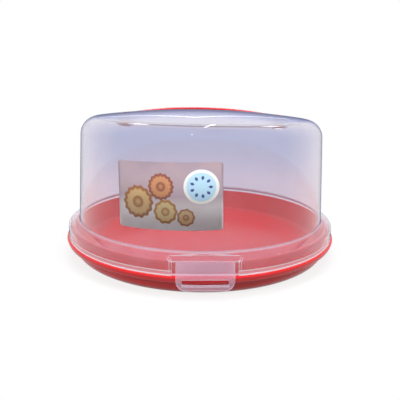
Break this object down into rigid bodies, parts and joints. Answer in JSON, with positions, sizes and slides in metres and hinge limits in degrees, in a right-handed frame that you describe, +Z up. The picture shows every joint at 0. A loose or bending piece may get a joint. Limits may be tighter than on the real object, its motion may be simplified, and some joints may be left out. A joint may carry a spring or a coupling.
{
  "type": "cake carrier",
  "caption": "Round cake carrier: shallow red tray, clear domed lid held by hinged clips with finger grips, and a red carry handle that folds into the crown.",
  "frame": {"origin": "centre of the foot ring, on the surface the carrier stands on", "axes": "+Z up, the seen clip towards -Y, +X to the right of a person facing that clip"},
  "size_m": [0.32, 0.3266, 0.164],
  "materials": {
    "tray_red": "injection moulded polypropylene, solid red, glossy",
    "lid_clear": "injection moulded natural polypropylene, clear with a slight haze, glossy",
    "clip_clear": "natural polypropylene, a little thicker and hazier than the dome",
    "handle_red": "injection moulded polypropylene, solid red",
    "label_print": null
  },
  "bodies": {
    "tray": {"base_tray": "tray_red"},
    "lid": {"lid": "lid_clear", "printed_label": "label_print"},
    "front_clip": {"front_clip": "clip_clear"},
    "rear_clip": {"rear_clip": "clip_clear"},
    "handle": {"carry_handle": "handle_red"}
  },
  "joints": [
    {"name": "lid_lift", "type": "slide", "parent": "tray", "child": "lid", "axis": [0, 0, 1], "range_m": [0, 0.18]},
    {"name": "front_clip_hinge", "type": "hinge", "parent": "lid", "child": "front_clip", "pos_m": [0, -0.1546, 0.0352], "axis": [-1, 0, 0], "range_deg": [0, 100]},
    {"name": "rear_clip_hinge", "type": "hinge", "parent": "lid", "child": "rear_clip", "pos_m": [0, 0.1546, 0.0352], "axis": [1, 0, 0], "range_deg": [0, 100]},
    {"name": "handle_pivot", "type": "hinge", "parent": "lid", "child": "handle", "pos_m": [0, 0, 0.153], "axis": [1, 0, 0], "range_deg": [0, 92]}
  ]
}
